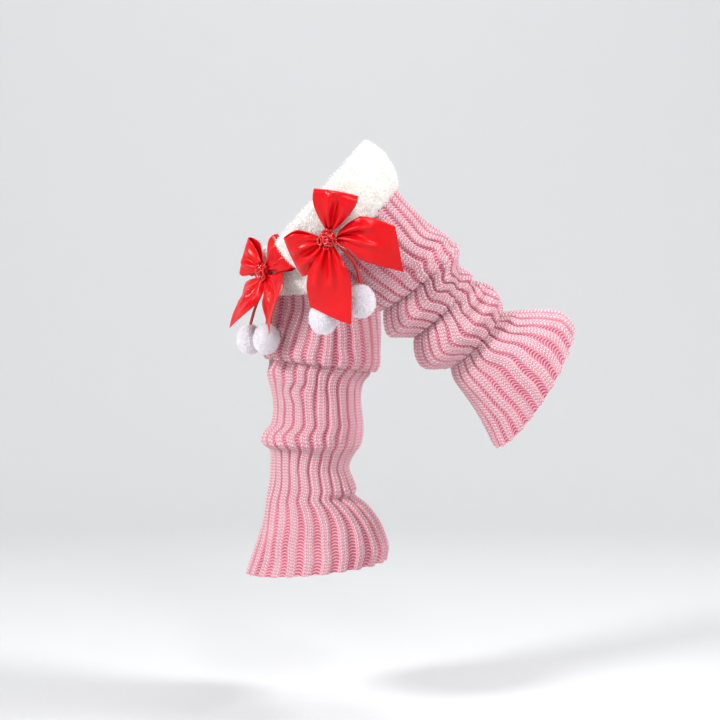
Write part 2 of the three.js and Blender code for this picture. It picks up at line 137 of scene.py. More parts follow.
# Path of a fold: down along the leg, inwards from the outline, and how much of the ribs is left
FOLD_PATH = (
    dict(down=-2.6, inward=0.0, rib=1.0),
    dict(down=0.0, inward=1.7, rib=0.8),
    dict(down=-1.0, inward=3.8, rib=0.4),
    dict(down=-8.2, inward=5.9, rib=0.3),
    dict(down=-5.8, inward=8.1, rib=0.3),
    dict(down=2.2, inward=7.6, rib=0.7),
)


def row(along, front, back, deep, slant=0.0, turn=0.0):
    """One section of a tube or cuff: how far down the leg, and how far the cloth reaches."""
    outline = dict(along=along, front=front, back=back, deep=deep, slant=slant, turn=turn)
    return dict(outline, rib=1.0, down=0.0, inward=0.0)


def fold(*outline):
    """The sections of one fold, all at one place down the leg."""
    return [{**row(*outline), **step} for step in FOLD_PATH]


def swell(along, around, long, wide, out, aside, shift=0, skew=0.0):
    """A local swelling of the cloth: where, how far each way, how far out, how far it pushes the
    ribs to either side and shifts them, and how much its line slants for each degree."""
    place = dict(along=along, around=around, long=long, wide=wide, skew=skew)
    return dict(place, out=out, aside=aside, shift=shift)


STANDING_TUBE = (
    row(47.3, 52, 55.5, 53, 0, 9),
    row(64, 53, 56.5, 54, 2, 7),
    row(80, 54.5, 57, 55, 5, 4),
    row(96, 57, 56.5, 56, 9, 1),
    *fold(114, 58, 54.5, 56.5, 13, 0),
    row(126, 52.5, 41, 48, 7, 0),
    row(136, 51, 38, 47, 3, 1),
    row(150, 48.5, 36.5, 45.5, 1, 0),
    row(163, 48.5, 37.5, 45.5, 0, 0),
    row(175, 52, 38.5, 47, -1, -2),
    row(184, 59.5, 38.5, 51, 0, -2),
    row(192, 60.5, 37, 52, 2, -2),
    row(198, 53, 33, 46.5, 3, -1),
    row(205, 51, 29, 43, 2, 0),
    row(216, 51, 26, 41, 1, 0),
    row(228, 51.5, 30, 41.5, 0, 1),
    row(238, 53.5, 33, 43, -1, 1),
    row(245, 55, 31, 44.5, -3, 1),
    row(256, 57, 42, 49, -5, 1),
    row(271, 60.5, 53, 55, -8, 0),
    row(288, 66, 61, 60, -11, 0),
    row(302, 71, 64.5, 63, -13, -1),
    row(314, 75, 62.5, 65, -14, -1),
)
STANDING_SWELLINGS = (
    swell(50, 138, 42, 44, 0.4, 0, shift=-20),
    swell(74, 128, 20, 18, 1.4, 3),
    swell(88, 112, 14, 9, -1.2, 0),
    swell(96, 150, 16, 18, 1.6, 7),
    swell(104, 60, 14, 16, 1.2, -3),
    swell(128, 158, 8, 20, 2.2, -5),
    swell(137, 118, 10, 20, -1.0, 9),
    swell(146, 95, 14, 12, 0.9, 3),
    swell(188, 120, 7, 30, 1.6, -4),
    swell(196, 70, 6, 18, -1.4, 4),
    swell(240, 35, 6, 14, 2.4, -6),
    swell(246, 48, 5, 12, -2.2, 5),
    swell(188, 290, 9, 34, 2.0, 5),
    swell(150, 250, 12, 26, 1.6, -5),
    swell(92, 285, 18, 26, 1.4, 4),
    swell(262, 300, 14, 30, 1.8, 3),
)
STANDING = dict(
    place=dict(position=(0, 0, 0), lean=0.0, splay=0.0),
    cuff=(row(0, 56, 56, 55), row(20, 58, 58, 57), row(38, 56, 58.5, 56.5), row(47, 52.3, 55.8, 53.3)),
    tube=STANDING_TUBE,
    # How much of each fold smooths out, and where.
    fades=(dict(along=114, around=200, wide=25, share=0.35),),
    swellings=STANDING_SWELLINGS,
)

LIFTED_TUBE = (
    row(47.3, 56, 46, 51.5, 0, -3),
    row(66, 55, 43, 50, 3, -3),
    row(84, 52.5, 42, 49, 8, -1),
    row(99, 48, 44.5, 48, 13, 2),
    *fold(117, 46.5, 46, 47.5, 15, 3),
    row(127, 49.5, 37, 43.5, 9, 2),
    row(134, 55.5, 34.5, 45, 5, 0),
    row(140, 51, 33, 44, 4, -2),
    *fold(149, 45.5, 33, 43.5, 4, -3),
    row(158, 47, 31, 42.5, 2, -1),
    row(166, 54.5, 36, 45.5, 1, 1),
    row(175, 57, 39, 47.5, 1, 2),
    row(182, 53, 36.5, 46, 2, 1),
    *fold(191, 46.5, 34, 44, 2, -1),
    row(204, 46.5, 33.5, 41.5, -2, 0),
    row(218, 50.5, 45, 47, -7, 0),
    row(233, 54.5, 56.5, 53, -13, 1),
    row(248, 60, 64, 58, -19, 1),
    row(264, 67.5, 63, 61.5, -24, 2),
)
LIFTED_SWELLINGS = (
    swell(78, 20, 20, 24, 1.2, 6),
    swell(98, 36, 12, 26, 2.6, -10, skew=-0.12),
    swell(110, 70, 8, 22, 1.2, 7),
    swell(112, 20, 5, 30, -2.2, 0, skew=0.1),
    swell(124, 34, 8, 26, 3.2, 12, skew=0.12),
    swell(134, 66, 8, 18, 2.2, -10),
    swell(137, 28, 5, 30, -2.4, 0, skew=0.15),
    swell(133, 125, 8, 18, 1.4, -5),
    swell(147, 40, 7, 26, 2.6, -12, skew=0.12),
    swell(160, 46, 6, 30, 3.4, 9, skew=-0.05),
    swell(170, 52, 4, 28, -3.8, 0),
    swell(180, 48, 6, 30, 3.6, -9),
    swell(168, 108, 10, 20, 1.6, 6),
    swell(206, 40, 10, 22, 1.6, 8),
    swell(214, 95, 12, 20, 1.0, -4),
    swell(232, 95, 18, 24, 2.4, 2),
    swell(150, 300, 14, 30, 2.4, 7),
    swell(172, 240, 12, 28, 2.0, -6),
    swell(95, 270, 16, 30, 1.5, 4),
)
LIFTED = dict(
    place=dict(position=(1.7, -130, 40.9), lean=-48.7, splay=7.2),
    cuff=(row(0, 57, 57, 56), row(20, 60, 57.5, 58), row(38, 59, 52, 56), row(47, 56.3, 46.3, 51.8)),
    tube=LIFTED_TUBE,
    fades=(
        dict(along=117, around=14, wide=48, share=0.75),
        dict(along=149, around=28, wide=62, share=0.85),
        dict(along=191, around=-40, wide=50, share=0.5),
    ),
    swellings=LIFTED_SWELLINGS,
)

# Bows, placed as in the part, and ribbons that leave the knot at their headings. Creases are
# where across the ribbon, how wide, how high, and how far out they reach.
STANDING_RIBBONS = (
    dict(
        name="loop_back",
        shape=dict(heading=33, reach=36, open=0.7, lean=3),
        creases=((-0.35, 0.16, 3.4, 0.95), (0.0, 0.12, -2.4, 0.8), (0.4, 0.16, 2.8, 0.9)),
    ),
    dict(
        name="loop_front",
        shape=dict(heading=149, reach=36, open=0.6, lean=3),
        creases=((0.3, 0.16, 3.4, 0.95), (-0.05, 0.12, -2.4, 0.8), (-0.45, 0.16, 2.8, 0.9)),
    ),
    dict(
        name="tail_back",
        shape=dict(heading=-55, reach=47, open=0.36, bend=3, cut=14, curl=2, crown=3),
        hang=dict(lean=17.5, layer=1, twist=0),
        creases=((0.35, 0.18, 3.2, 0.8), (0.0, 0.14, -2.4, 0.6), (-0.4, 0.16, 2.8, 0.8)),
    ),
    dict(
        name="tail_front",
        shape=dict(heading=-112, reach=44, open=0.36, bend=-2, cut=9, curl=-2, crown=2),
        hang=dict(lean=22.5, layer=2.4, twist=38),
        creases=((-0.3, 0.18, 3.2, 0.9), (0.05, 0.14, -2.4, 0.6), (0.45, 0.16, 2.6, 0.8)),
    ),
)
STANDING_BOW = dict(around=54, facing=46, below=25, standoff=68, ribbons=STANDING_RIBBONS)
LIFTED_RIBBONS = (
    dict(
        name="loop_back",
        shape=dict(heading=31, reach=41, open=0.75, lean=4),
        creases=((0.25, 0.14, 4.2, 1.2), (-0.1, 0.12, -2.6, 1.0), (-0.55, 0.2, 2.4, 0.8)),
    ),
    dict(
        name="loop_front",
        shape=dict(heading=164, reach=40, open=0.55, lean=2, skew=4.5),
        creases=((0.45, 0.16, 3.6, 0.9), (0.1, 0.12, -2.8, 0.8), (-0.25, 0.14, 3.6, 0.85)),
    ),
    dict(
        name="tail_back",
        shape=dict(heading=-57, reach=62, open=0.36, bend=5, cut=7, curl=3, crown=6),
        hang=dict(lean=4, layer=-1, twist=0),
        creases=((0.5, 0.16, 4.0, 0.6), (0.15, 0.12, -2.6, 0.5), (-0.2, 0.14, 3.2, 0.75)),
    ),
    dict(
        name="tail_front",
        shape=dict(heading=-132, reach=63, open=0.4, bend=0, cut=7, curl=1, crown=5.5),
        hang=dict(lean=22, layer=3.4, twist=0),
        creases=((-0.5, 0.16, 3.4, 0.6), (-0.15, 0.12, -2.4, 0.55), (0.2, 0.14, 3.2, 0.6)),
    ),
)
LIFTED_BOW = dict(around=25, facing=25, below=28.5, standoff=69.6, ribbons=LIFTED_RIBBONS)

# Knot: half its length and width, turns of cord round it, and loose loops on its front
KNOT_CORE = (6.2, 5.0)
KNOT_TURNS = (
    dict(shift=-3.1, tilt=0.30, radius=5.6),
    dict(shift=0.0, tilt=-0.22, radius=6.1),
    dict(shift=3.0, tilt=0.18, radius=5.6),
)
KNOT_LOOPS = (
    dict(centre=(-6.4, 3.2, 4.4), size=(3.2, 1.6), lean=0.9),
    dict(centre=(4.4, 5.0, 4.6), size=(2.8, 1.5), lean=-0.5),
    dict(centre=(-5.6, -5.0, 4.0), size=(3.4, 1.6), lean=-0.7),
    dict(centre=(2.6, -6.4, 3.8), size=(3.0, 1.5), lean=1.3),
    dict(centre=(-0.6, 0.6, 7.6), size=(3.4, 1.9), lean=0.6),
)
TURN_RADIUS = 1.35
LOOP_RADIUS = 0.95

# Cord routes and pompoms, as in the part
HANGING = (
    dict(
        name="standing_front",
        route=((-55.4, -34.5, -31), (-58.5, -32.5, -43), (-65, -28.5, -59), (-70.3, -24.5, -76.3)),
        centre=(-70.6, -24, -90.3),
    ),
    dict(
        name="standing_back",
        route=((-53.2, -36.8, -32.2), (-51.4, -40.4, -43), (-50.8, -45.5, -59), (-52.5, -49.4, -76.3)),
        centre=(-52.9, -49.5, -90.2),
    ),
    dict(
        name="lifted_front",
        route=((11.8, -183, -10.4), (9.5, -177, -24), (6.3, -167, -41), (4.8, -158.5, -59.4)),
        centre=(4.7, -158, -73.3),
    ),
    dict(
        name="lifted_back",
        route=((14.5, -184, -8.3), (24, -181.5, -16.5), (33, -174, -28.5), (37.4, -168.5, -45.1)),
        centre=(37.7, -168, -59.1),
    ),
)


# Colours, in linear light
# Knit ramp: dark stops are painted shade for grooves and gaps between stitches, the top stop painted
# highlight on stitch tops
KNIT_PAINTED_SHADING = (
    (0.0, (0.33, 0.045, 0.09)),
    (0.21, (0.66, 0.19, 0.265)),
    (0.46, (0.90, 0.44, 0.515)),
    (0.88, (1.0, 0.75, 0.79)),
)
RED = (0.62, 0.0, 0.004, 1)
PLUSH_ROOT = (0.95, 0.925, 0.89)
PLUSH_TIP = (0.99, 0.98, 0.965)
PLUSH_BASE = (0.95, 0.93, 0.90)
YARN_ROOT = (0.95, 0.93, 0.97)
YARN_TIP = (1.0, 0.985, 1.0)
YARN_BASE = (0.97, 0.95, 0.99)
GREY = (0.66, 0.665, 0.675, 1)

# Stitch pattern: shares of a rib from its middle, and slant, arch and height in stitches
RIB_EDGE = 0.39
RIB_FACE = 0.33
STITCH_SLANT = 0.7
PURL_ARCH = 0.25
PURL_HEIGHT = 0.55


# Materials


class Nodes:
    """Short calls for the nodes of one tree."""

    def __init__(self, tree):
        self.tree = tree

    def add(self, kind, **settings):
        node = self.tree.nodes.new(kind)
        for key, value in settings.items():
            setattr(node, key, value)
        return node

    def link(self, source, target):
        self.tree.links.new(source, target)

    def math(self, operation, *values, clamp=False):
        node = self.add("ShaderNodeMath", operation=operation, use_clamp=clamp)
        for socket, value in zip(node.inputs, values):
            if isinstance(value, (int, float)):
                socket.default_value = value
            else:
                self.link(value, socket)
        return node.outputs[0]

    def cosine(self, turns):
        return self.math("COSINE", self.math("MULTIPLY", turns, math.tau))

    def from_middle(self, share):
        return self.math("ABSOLUTE", self.math("SUBTRACT", share, 0.5))

    def ramp(self, value, stops):
        node = self.add("ShaderNodeValToRGB")
        elements = node.color_ramp.elements
        while len(elements) < len(stops):
            elements.new(0.5)
        for element, (position, colour) in zip(elements, stops):
            element.position = position
            element.color = (*colour, 1)
        self.link(value, node.inputs["Fac"])
        return node.outputs["Color"]

    def noise(self, place, scale, detail, roughness):
        node = self.add("ShaderNodeTexNoise")
        set_inputs(node, {"Scale": scale, "Detail": detail, "Roughness": roughness})
        self.link(place, node.inputs["Vector"])
        return node.outputs["Fac"]

    def object_place(self):
        return self.add("ShaderNodeTexCoord").outputs["Object"]

    def scaled_uv(self, name, scale):
        node = self.add("ShaderNodeMapping")
        node.inputs["Scale"].default_value = scale
        self.link(self.add("ShaderNodeUVMap", uv_map=name).outputs["UV"], node.inputs["Vector"])
        return node.outputs["Vector"]

    def split_uv(self, name):
        split = self.add("ShaderNodeSeparateXYZ")
        self.link(self.add("ShaderNodeUVMap", uv_map=name).outputs["UV"], split.inputs[0])
        return split.outputs["X"], split.outputs["Y"]

    def bump(self, height, strength, distance, normal=None):
        node = self.add("ShaderNodeBump")
        set_inputs(node, {"Strength": strength, "Distance": distance})
        self.link(height, node.inputs["Height"])
        if normal is not None:
            self.link(normal, node.inputs["Normal"])
        return node.outputs["Normal"]


def set_inputs(node, values):
    for name, value in values.items():
        node.inputs[name].default_value = value


def new_material(name):
    material = bpy.data.materials.new(name)
    material.use_nodes = True
    tree = material.node_tree
    return material, Nodes(tree), tree.nodes["Principled BSDF"]


def stitches(n, u, v):
    """Height of the stitches, and how far a place is on a rib and not in a groove."""
    in_rib = n.math("FRACT", u)
    on_rib = n.add("ShaderNodeMapRange", interpolation_type="SMOOTHSTEP")
    set_inputs(on_rib, {"From Min": RIB_EDGE, "From Max": RIB_FACE})
    n.link(n.from_middle(in_rib), on_rib.inputs["Value"])
    rib = on_rib.outputs["Result"]
    # each rib has two columns and each groove one, all of one width in the pattern
    columns = n.math("MULTIPLY", in_rib, 3.0)
    across = n.math("FRACT", n.math("ADD", columns, 0.5))
    side = n.math("MULTIPLY", n.from_middle(across), 2.0)
    slanted = n.math("SUBTRACT", v, n.math("MULTIPLY", side, STITCH_SLANT))
    stroke = n.math("MULTIPLY_ADD", n.cosine(slanted), 0.75, 0.55, clamp=True)
    leg = n.math("SINE", n.math("MULTIPLY", side, math.pi), clamp=True)
    leg = n.math("MULTIPLY", leg, 1.5, clamp=True)
    knitted = n.math("MULTIPLY", leg, stroke)
    bar = n.math("MULTIPLY_ADD", n.cosine(columns), PURL_ARCH, v)
    bar_wave = n.math("MULTIPLY_ADD", n.cosine(bar), 0.5, 0.5)
    purled = n.math("MULTIPLY", n.math("POWER", bar_wave, 1.5), PURL_HEIGHT)
    mixed = n.add("ShaderNodeMix", data_type="FLOAT")
    for socket, value in ((0, rib), (2, purled), (3, knitted)):
        n.link(value, mixed.inputs[socket])
    return mixed.outputs[0], rib


def knit_material():
    """Two columns of slanting stitches on each rib, sunk purl columns between the ribs."""
    material, n, shader = new_material("knit")
    relief, rib = stitches(n, *n.split_uv("stitches"))
    place = n.object_place()
    fuzz = n.noise(place, 1100.0, 3.0, 0.65)
    patches = n.noise(place, 38.0, 2.0, 0.5)
    # painted shade darkens the grooves and the gaps between stitches, painted highlight lightens the
    # stitches' tops; patches and fuzz add random tone
    shade = n.math("ADD", n.math("MULTIPLY", rib, 0.24), n.math("MULTIPLY", relief, 0.66))
    shade = n.math("ADD", shade, n.math("MULTIPLY_ADD", patches, 0.20, -0.06))
    shade = n.math("ADD", shade, n.math("MULTIPLY_ADD", fuzz, 0.30, -0.12))
    n.link(n.ramp(shade, KNIT_PAINTED_SHADING), shader.inputs["Base Color"])
    height = n.math("MULTIPLY_ADD", fuzz, 0.4, relief)
    n.link(n.bump(height, 1.0, 0.0013), shader.inputs["Normal"])
    set_inputs(shader, {"Roughness": 0.88, "Specular IOR Level": 0.25, "Sheen Weight": 0.2})
    set_inputs(shader, {"Sheen Roughness": 0.5, "Sheen Tint": (1.0, 0.8, 0.86, 1)})
    return material


def pile_material(name, root, tip, patch_scale):
    """Fur fibres: a little darker at the root, and some light goes through."""
    material, n, shader = new_material(name)
    along = n.split_uv("fibres")[1]
    patches = n.noise(n.object_place(), patch_scale, 2.0, 0.5)
    shade = n.math("ADD", n.math("MULTIPLY", along, 0.75), n.math("MULTIPLY", patches, 0.3))
    colour = n.ramp(shade, ((0.0, root), (0.85, tip)))
    n.link(colour, shader.inputs["Base Color"])
    set_inputs(shader, {"Roughness": 0.95, "Specular IOR Level": 0.15, "Sheen Weight": 0.3})
    through = n.add("ShaderNodeBsdfTranslucent")
    n.link(colour, through.inputs["Color"])
    both = n.add("ShaderNodeMixShader")
    both.inputs[0].default_value = 0.5
    n.link(shader.outputs["BSDF"], both.inputs[1])
    n.link(through.outputs["BSDF"], both.inputs[2])
    n.link(both.outputs[0], n.tree.nodes["Material Output"].inputs["Surface"])
    return material


def backing_material(name, colour, scale):
    """Matt fuzzy ground that shows between the fibres."""
    material, n, shader = new_material(name)
    fuzz = n.noise(n.object_place(), scale, 4.0, 0.7)
    n.link(n.bump(fuzz, 0.8, 0.0015), shader.inputs["Normal"])
    set_inputs(shader, {"Base Color": (*colour, 1), "Roughness": 0.95, "Specular IOR Level": 0.1})
    return material


def satin_material():
    """Weft-faced satin: soft broad highlights that run across the ribbon, and fine wrinkles."""
    material, n, shader = new_material("satin")
    weave = n.noise(n.scaled_uv("ribbon", (3.0, 60.0, 1.0)), 14.0, 2.0, 0.6)
    wrinkles = n.noise(n.scaled_uv("ribbon", (1.1, 3.4, 1.0)), 1.6, 1.0, 0.4)
    normal = n.bump(weave, 0.10, 0.0002, n.bump(wrinkles, 0.5, 0.0022))
    n.link(normal, shader.inputs["Normal"])
    set_inputs(shader, {"Base Color": RED, "Roughness": 0.29, "Specular IOR Level": 0.85})
    set_inputs(shader, {"Specular Tint": (1.0, 0.30, 0.28, 1), "Anisotropic": 0.6})
    return material


def cord_material():
    """Glossy satin cord: fine slanting threads."""
    material, n, shader = new_material("cord")
    threads = n.add("ShaderNodeTexWave", bands_direction="DIAGONAL")
    set_inputs(threads, {"Scale": 520.0, "Distortion": 1.0})
    n.link(n.object_place(), threads.inputs["Vector"])
    n.link(n.bump(threads.outputs["Fac"], 0.5, 0.0003), shader.inputs["Normal"])
    set_inputs(shader, {"Base Color": RED, "Roughness": 0.14, "Specular IOR Level": 0.9})
    return material


KNIT = knit_material()
PLUSH_PILE = pile_material("plush pile", PLUSH_ROOT, PLUSH_TIP, 120.0)
PLUSH_BACK = backing_material("plush backing", PLUSH_BASE, 700.0)
YARN_PILE = pile_material("pompom yarn", YARN_ROOT, YARN_TIP, 160.0)
YARN_CORE = backing_material("pompom core", YARN_BASE, 900.0)
SATIN = satin_material()
CORD = cord_material()


# Meshes and curves from arrays


def add_object(name, data, material=None):
    if material is not None:
        data.materials.append(material)
    made = bpy.data.objects.new(name, data)
    bpy.context.collection.objects.link(made)
    return made


def add_mesh(name, points, faces, material, uv_name=None, uv=None, scale=MM):
    """A smooth mesh from an array of points and a list of arrays of quads or triangles."""
    data = bpy.data.meshes.new(name)
    points = np.asarray(points, dtype=np.float32) * scale
    corners = np.concatenate([kind.ravel() for kind in faces]).astype(np.int32)
    sizes = np.concatenate([np.full(len(kind), kind.shape[1]) for kind in faces])
    starts = (np.cumsum(sizes) - sizes).astype(np.int32)
    data.vertices.add(len(points))
    data.vertices.foreach_set("co", points.ravel())
    data.loops.add(len(corners))
    data.loops.foreach_set("vertex_index", corners)
    data.polygons.add(len(starts))
    data.polygons.foreach_set("loop_start", starts)
    data.polygons.foreach_set("use_smooth", np.full(len(starts), True))
    if uv is not None:
        layer = data.uv_layers.new(name=uv_name)
        layer.data.foreach_set("uv", np.asarray(uv, dtype=np.float32).ravel())
    data.update(calc_edges=True)
    data.validate()
    return add_object(name, data, material)


def grid_quads(rows, columns, flip=False):
    """Quads of a grid whose last column joins its first."""
    i = np.arange(rows - 1)[:, None] * columns
    j = np.arange(columns)[None, :]
    k = (j + 1) % columns
    a, b, c, d = i + j, i + k, i + columns + k, i + columns + j
    quads = np.stack([a, b, c, d] if not flip else [a, d, c, b], axis=-1)
    return quads.reshape(-1, 4)


def smooth_curve(knots, table, at):
    """A table's columns along a smooth curve through its rows, at the places asked for."""
    slope = np.gradient(table, knots, axis=0)
    k = np.clip(np.searchsorted(knots, at, side="right") - 1, 0, len(knots) - 2)
    h = (knots[k + 1] - knots[k])[:, None]
    t = (at - knots[k])[:, None] / h
    return (
        (2 * t**3 - 3 * t**2 + 1) * table[k]
        + (t**3 - 2 * t**2 + t) * h * slope[k]
        + (-2 * t**3 + 3 * t**2) * table[k + 1]
        + (t**3 - t**2) * h * slope[k + 1]
    )


def unit(vectors):
    return vectors / np.maximum(np.linalg.norm(vectors, axis=-1, keepdims=True), 1e-9)


def path_lengths(points):
    """How far along a path each of its points is."""
    steps = np.linalg.norm(np.diff(points, axis=0), axis=-1)
    return np.concatenate([np.zeros_like(steps[:1]), np.cumsum(steps, axis=0)])


def placed(points, place):
    """Points of a leg warmer's own frame, in the shared frame."""
    lean, splay = math.radians(place["lean"]), math.radians(place["splay"])
    turn = Matrix.Rotation(lean, 3, "Y") @ Matrix.Rotation(splay, 3, "X")
    return points @ np.array(turn).T + np.array(place["position"])


# Knit tubes

KEYS = ("along", "front", "back", "deep", "slant", "turn", "rib", "down", "inward")


def smooth_rows(rows, count):
    """The rows' columns along a smooth curve through them, at even steps, and the steps."""
    table = np.array([[r[k] for k in KEYS] for r in rows], dtype=float)
    outline = [(r["along"] + r["down"], (r["front"] + r["back"]) / 2 - r["inward"]) for r in rows]
    length = path_lengths(np.array(outline))
    at = np.linspace(0, length[-1], count)
    values = smooth_curve(length, table, at)
    return {key: values[:, i, None] for i, key in enumerate(KEYS)}, at


def degrees_from(angles, middle):
    """How far round each angle is from a middle, between -180 and 180 degrees."""
    return (np.degrees(angles)[None, :] - middle + 180) % 360 - 180


def waves(angles, at, terms):
    """A smooth uneven field round the leg and along the cloth."""
    total = np.zeros((len(at), len(angles)))
    for times, long, phase, size in terms:
        total += size * np.sin(times * angles[None, :] + at[:, None] / long + phase)
    return total


def folds_left(warmer, along, angles):
    """How much of each fold's path is left at each step and angle."""
    left = np.ones((len(along), len(angles)))
    for fade in warmer["fades"]:
        apart = degrees_from(angles, fade["around"])
        round_fade = np.exp(-((apart / fade["wide"]) ** 4))
        near_fold = np.exp(-(((along - fade["along"]) / FOLD_REACH) ** 4))
        left = left - fade["share"] * round_fade * near_fold
    return left


def middle_surface(warmer, angles, count):
    """Points of the cloth's middle at each step and angle, how much rib it has, and the steps."""
    column, at = smooth_rows(warmer["tube"], count)
    along = column["along"]
    left = folds_left(warmer, along, angles)
    out = np.zeros_like(left)
    aside = np.zeros_like(left)
    for s in warmer["swellings"]:
        apart = degrees_from(angles, s["around"])
        down = (along - s["along"] - s["skew"] * apart) / s["long"]
        near = np.exp(-(down**2) - (apart / s["wide"]) ** 2)
        out += s["out"] * near
        aside += s["aside"] * near * np.sin(np.clip(down, -2, 2) * 1.2)
        aside += s["shift"] * near
    slouch = np.clip((along - SLOUCH_FROM) / SLOUCH_OVER, 0, 1)
    out += slouch * waves(angles, at, SLOUCH_OUT)
    aside += slouch * waves(angles, at, SLOUCH_ASIDE)
    angle = angles[None, :] + np.radians(column["turn"]) + np.radians(aside)
    inward = column["inward"] * left
    half = (column["front"] + column["back"]) / 2 - MIDDLE_INSET - inward
    centre = (column["back"] - column["front"]) / 2
    deep = column["deep"] - MIDDLE_INSET - inward
    x = centre + (half + out) * np.cos(angle)
    y = -(deep + out) * np.sin(angle)
    z = -along - column["down"] * left - column["slant"] / 2 * np.cos(angle)
    ribs = 1 - (1 - column["rib"]) * left
    return np.stack([x, y, z], axis=-1), ribs, at


def outward(points):
    """Unit normals of a grid that is closed round, away from the leg on its first ring."""
    round_way = np.roll(points, -1, axis=1) - np.roll(points, 1, axis=1)
    return unit(np.cross(round_way, np.gradient(points, axis=0)))


def rib_pitch(middle):
    """Width of the ribs round each point, as an average over a rib to either side."""
    steps = np.linalg.norm(np.roll(middle, -1, axis=1) - middle, axis=-1)
    padded = np.concatenate([steps[:, -RIB_COLUMNS:], steps, steps[:, :RIB_COLUMNS]], axis=1)
    window = np.ones(RIB_COLUMNS * 2 + 1) / (RIB_COLUMNS * 2 + 1)
    return np.stack([np.convolve(line, window, "valid") for line in padded]) * RIB_COLUMNS


def rib_coordinate(share, pitch):
    """Where a point of a rib is in the stitch pattern: stretched cloth has wider grooves."""
    stretched = np.clip((pitch - RELAXED_PITCH) / (STRETCHED_PITCH - RELAXED_PITCH), 0, 1)
    groove = GROOVE_RELAXED + GROOVE_STRETCH * stretched
    within = share % 1.0
    apart = np.minimum(within, 1 - within)
    pattern = np.where(
        apart < groove,
        apart / groove * GROOVE_PATTERN,
        GROOVE_PATTERN + (apart - groove) / (0.5 - groove) * (0.5 - GROOVE_PATTERN),
    )
    return np.floor(share) + np.where(within < 0.5, pattern, 1 - pattern)


def rib_profile(pattern):
    """Height of the rib at its pattern coordinate: a groove at 0, a broad top round 0.5."""
    apart = np.abs((pattern + 0.5) % 1.0 - 0.5)
    rise = np.clip((apart - GROOVE_FLOOR) / RIB_FLANK, 0, 1)
    rise = rise * rise * (3 - 2 * rise)
    # a slight dip between the rib's two columns of stitches
    return rise - DIP_DEPTH * np.exp(-((((pattern % 1.0) - 0.5) / DIP_WIDTH) ** 2))


def pattern_uv(quads, pattern, heights):
    """Where the corners of a grid's quads are in the pattern; the last rib ends at its own end."""
    u, v = pattern.ravel()[quads], heights.ravel()[quads]
    closing = u < u.max(axis=1, keepdims=True) - 1
    return np.stack([u + RIB_COUNT * closing, v], axis=-1).reshape(-1, 2)


def edge_triangles(outer, inner, top):
    """Triangles from the tube's outer ring to its plainer inner one, given by their first points."""
    step = COLUMNS // INNER_COLUMNS
    q, p = np.arange(COLUMNS), np.arange(INNER_COLUMNS)
    after = (p + 1) % INNER_COLUMNS
    fans = np.stack([inner + q // step, outer + q, outer + (q + 1) % COLUMNS], axis=1)
    seams = np.stack([inner + p, outer + after * step, inner + after], axis=1)
    triangles = np.concatenate([fans, seams])
    return triangles[:, ::-1] if top else triangles


def knit_tube(side, warmer):
    """The outer face with its ribs, a plainer inner face, and the two edges."""
    share = np.arange(COLUMNS) / COLUMNS
    middle, ribs, at = middle_surface(warmer, math.tau * share, TUBE_ROWS)
    normal = outward(middle)
    pattern = rib_coordinate(share[None, :] * RIB_COUNT, rib_pitch(middle))
    profile = rib_profile(pattern)
    relief = (profile * (RIB_TOP + RIB_SINK) - RIB_SINK) * ribs
    # the last rows of stitches bulge on each rib and sink between them
    scallop = np.clip((at - (at[-1] - HEM_REACH)) / HEM_REACH, 0, 1)[:, None] ** 2
    middle = middle + np.array([0, 0, -HEM_BULGE]) * (profile * scallop)[..., None]
    outer = middle + normal * (CLOTH / 2 + relief)[..., None]
    plain = (slice(None, None, 2), slice(None, None, COLUMNS // INNER_COLUMNS))
    inner = middle[plain] - normal[plain] * (CLOTH / 2)
    outer_quads = grid_quads(TUBE_ROWS, COLUMNS, flip=True)
    inner_quads = grid_quads(len(inner), INNER_COLUMNS)
    outer_count = TUBE_ROWS * COLUMNS
    last = outer_count + (len(inner) - 1) * INNER_COLUMNS
    edges = [
        edge_triangles(0, outer_count, True),
        edge_triangles(outer_count - COLUMNS, last, False),
    ]
    # stitches are counted along each column of the cloth
    heights = path_lengths(middle) / STITCH_HEIGHT
    uv = [
        pattern_uv(outer_quads, pattern, heights),
        pattern_uv(inner_quads, pattern[plain], heights[plain]),
        np.full((sum(edge.size for edge in edges), 2), EDGE_PATTERN),
    ]
    return add_mesh(
        side + "_knit_tube_cloth",
        placed(np.concatenate([outer.reshape(-1, 3), inner.reshape(-1, 3)]), warmer["place"]),
        [outer_quads, inner_quads + outer_count, *edges],
        KNIT,
        "stitches",
        np.concatenate(uv),
    )


# Fibres


def fibres(roots, normals, drift, length, width, bend, rng):
    """Thin curved blades from the roots: quads, closing triangles and how far along each is."""
    count = len(roots)
    length = length * rng.uniform(*FIBRE_LENGTHS, count)[:, None]
    way = unit(normals + drift)
    across = unit(np.cross(way, rng.normal(size=(count, 3))))
    curl = np.cross(across, way) * bend * rng.uniform(*FIBRE_CURLS, count)[:, None]
    points = []
    for share, wide in BLADE:
        middle = roots + way * length * share + curl * length * share**2
        points.append(middle - across * width * wide / 2)
        points.append(middle + across * width * wide / 2)
    points.append(roots + way * length * BLADE_TIP + curl * length)
    base = np.arange(count)[:, None] * len(points)
    lower, upper, tip = [0, 1, 3, 2], [2, 3, 5, 4], [4, 5, 6]
    faces = [np.concatenate([base + lower, base + upper]), base + tip]
    shares = np.array([share for share, _ in BLADE for _ in range(2)] + [1.0])
    along = np.concatenate([np.tile(shares[corners], count) for corners in (lower, upper, tip)])
    uv = np.stack([np.zeros_like(along), along], axis=-1)
    return np.stack(points, axis=1).reshape(-1, 3), faces, uv


# Plush cuffs


def squarer(wave):
    """A sine or cosine with fuller corners, for a band with a rounded edge."""
    return np.sign(wave) * np.abs(wave) ** EDGE_POWER


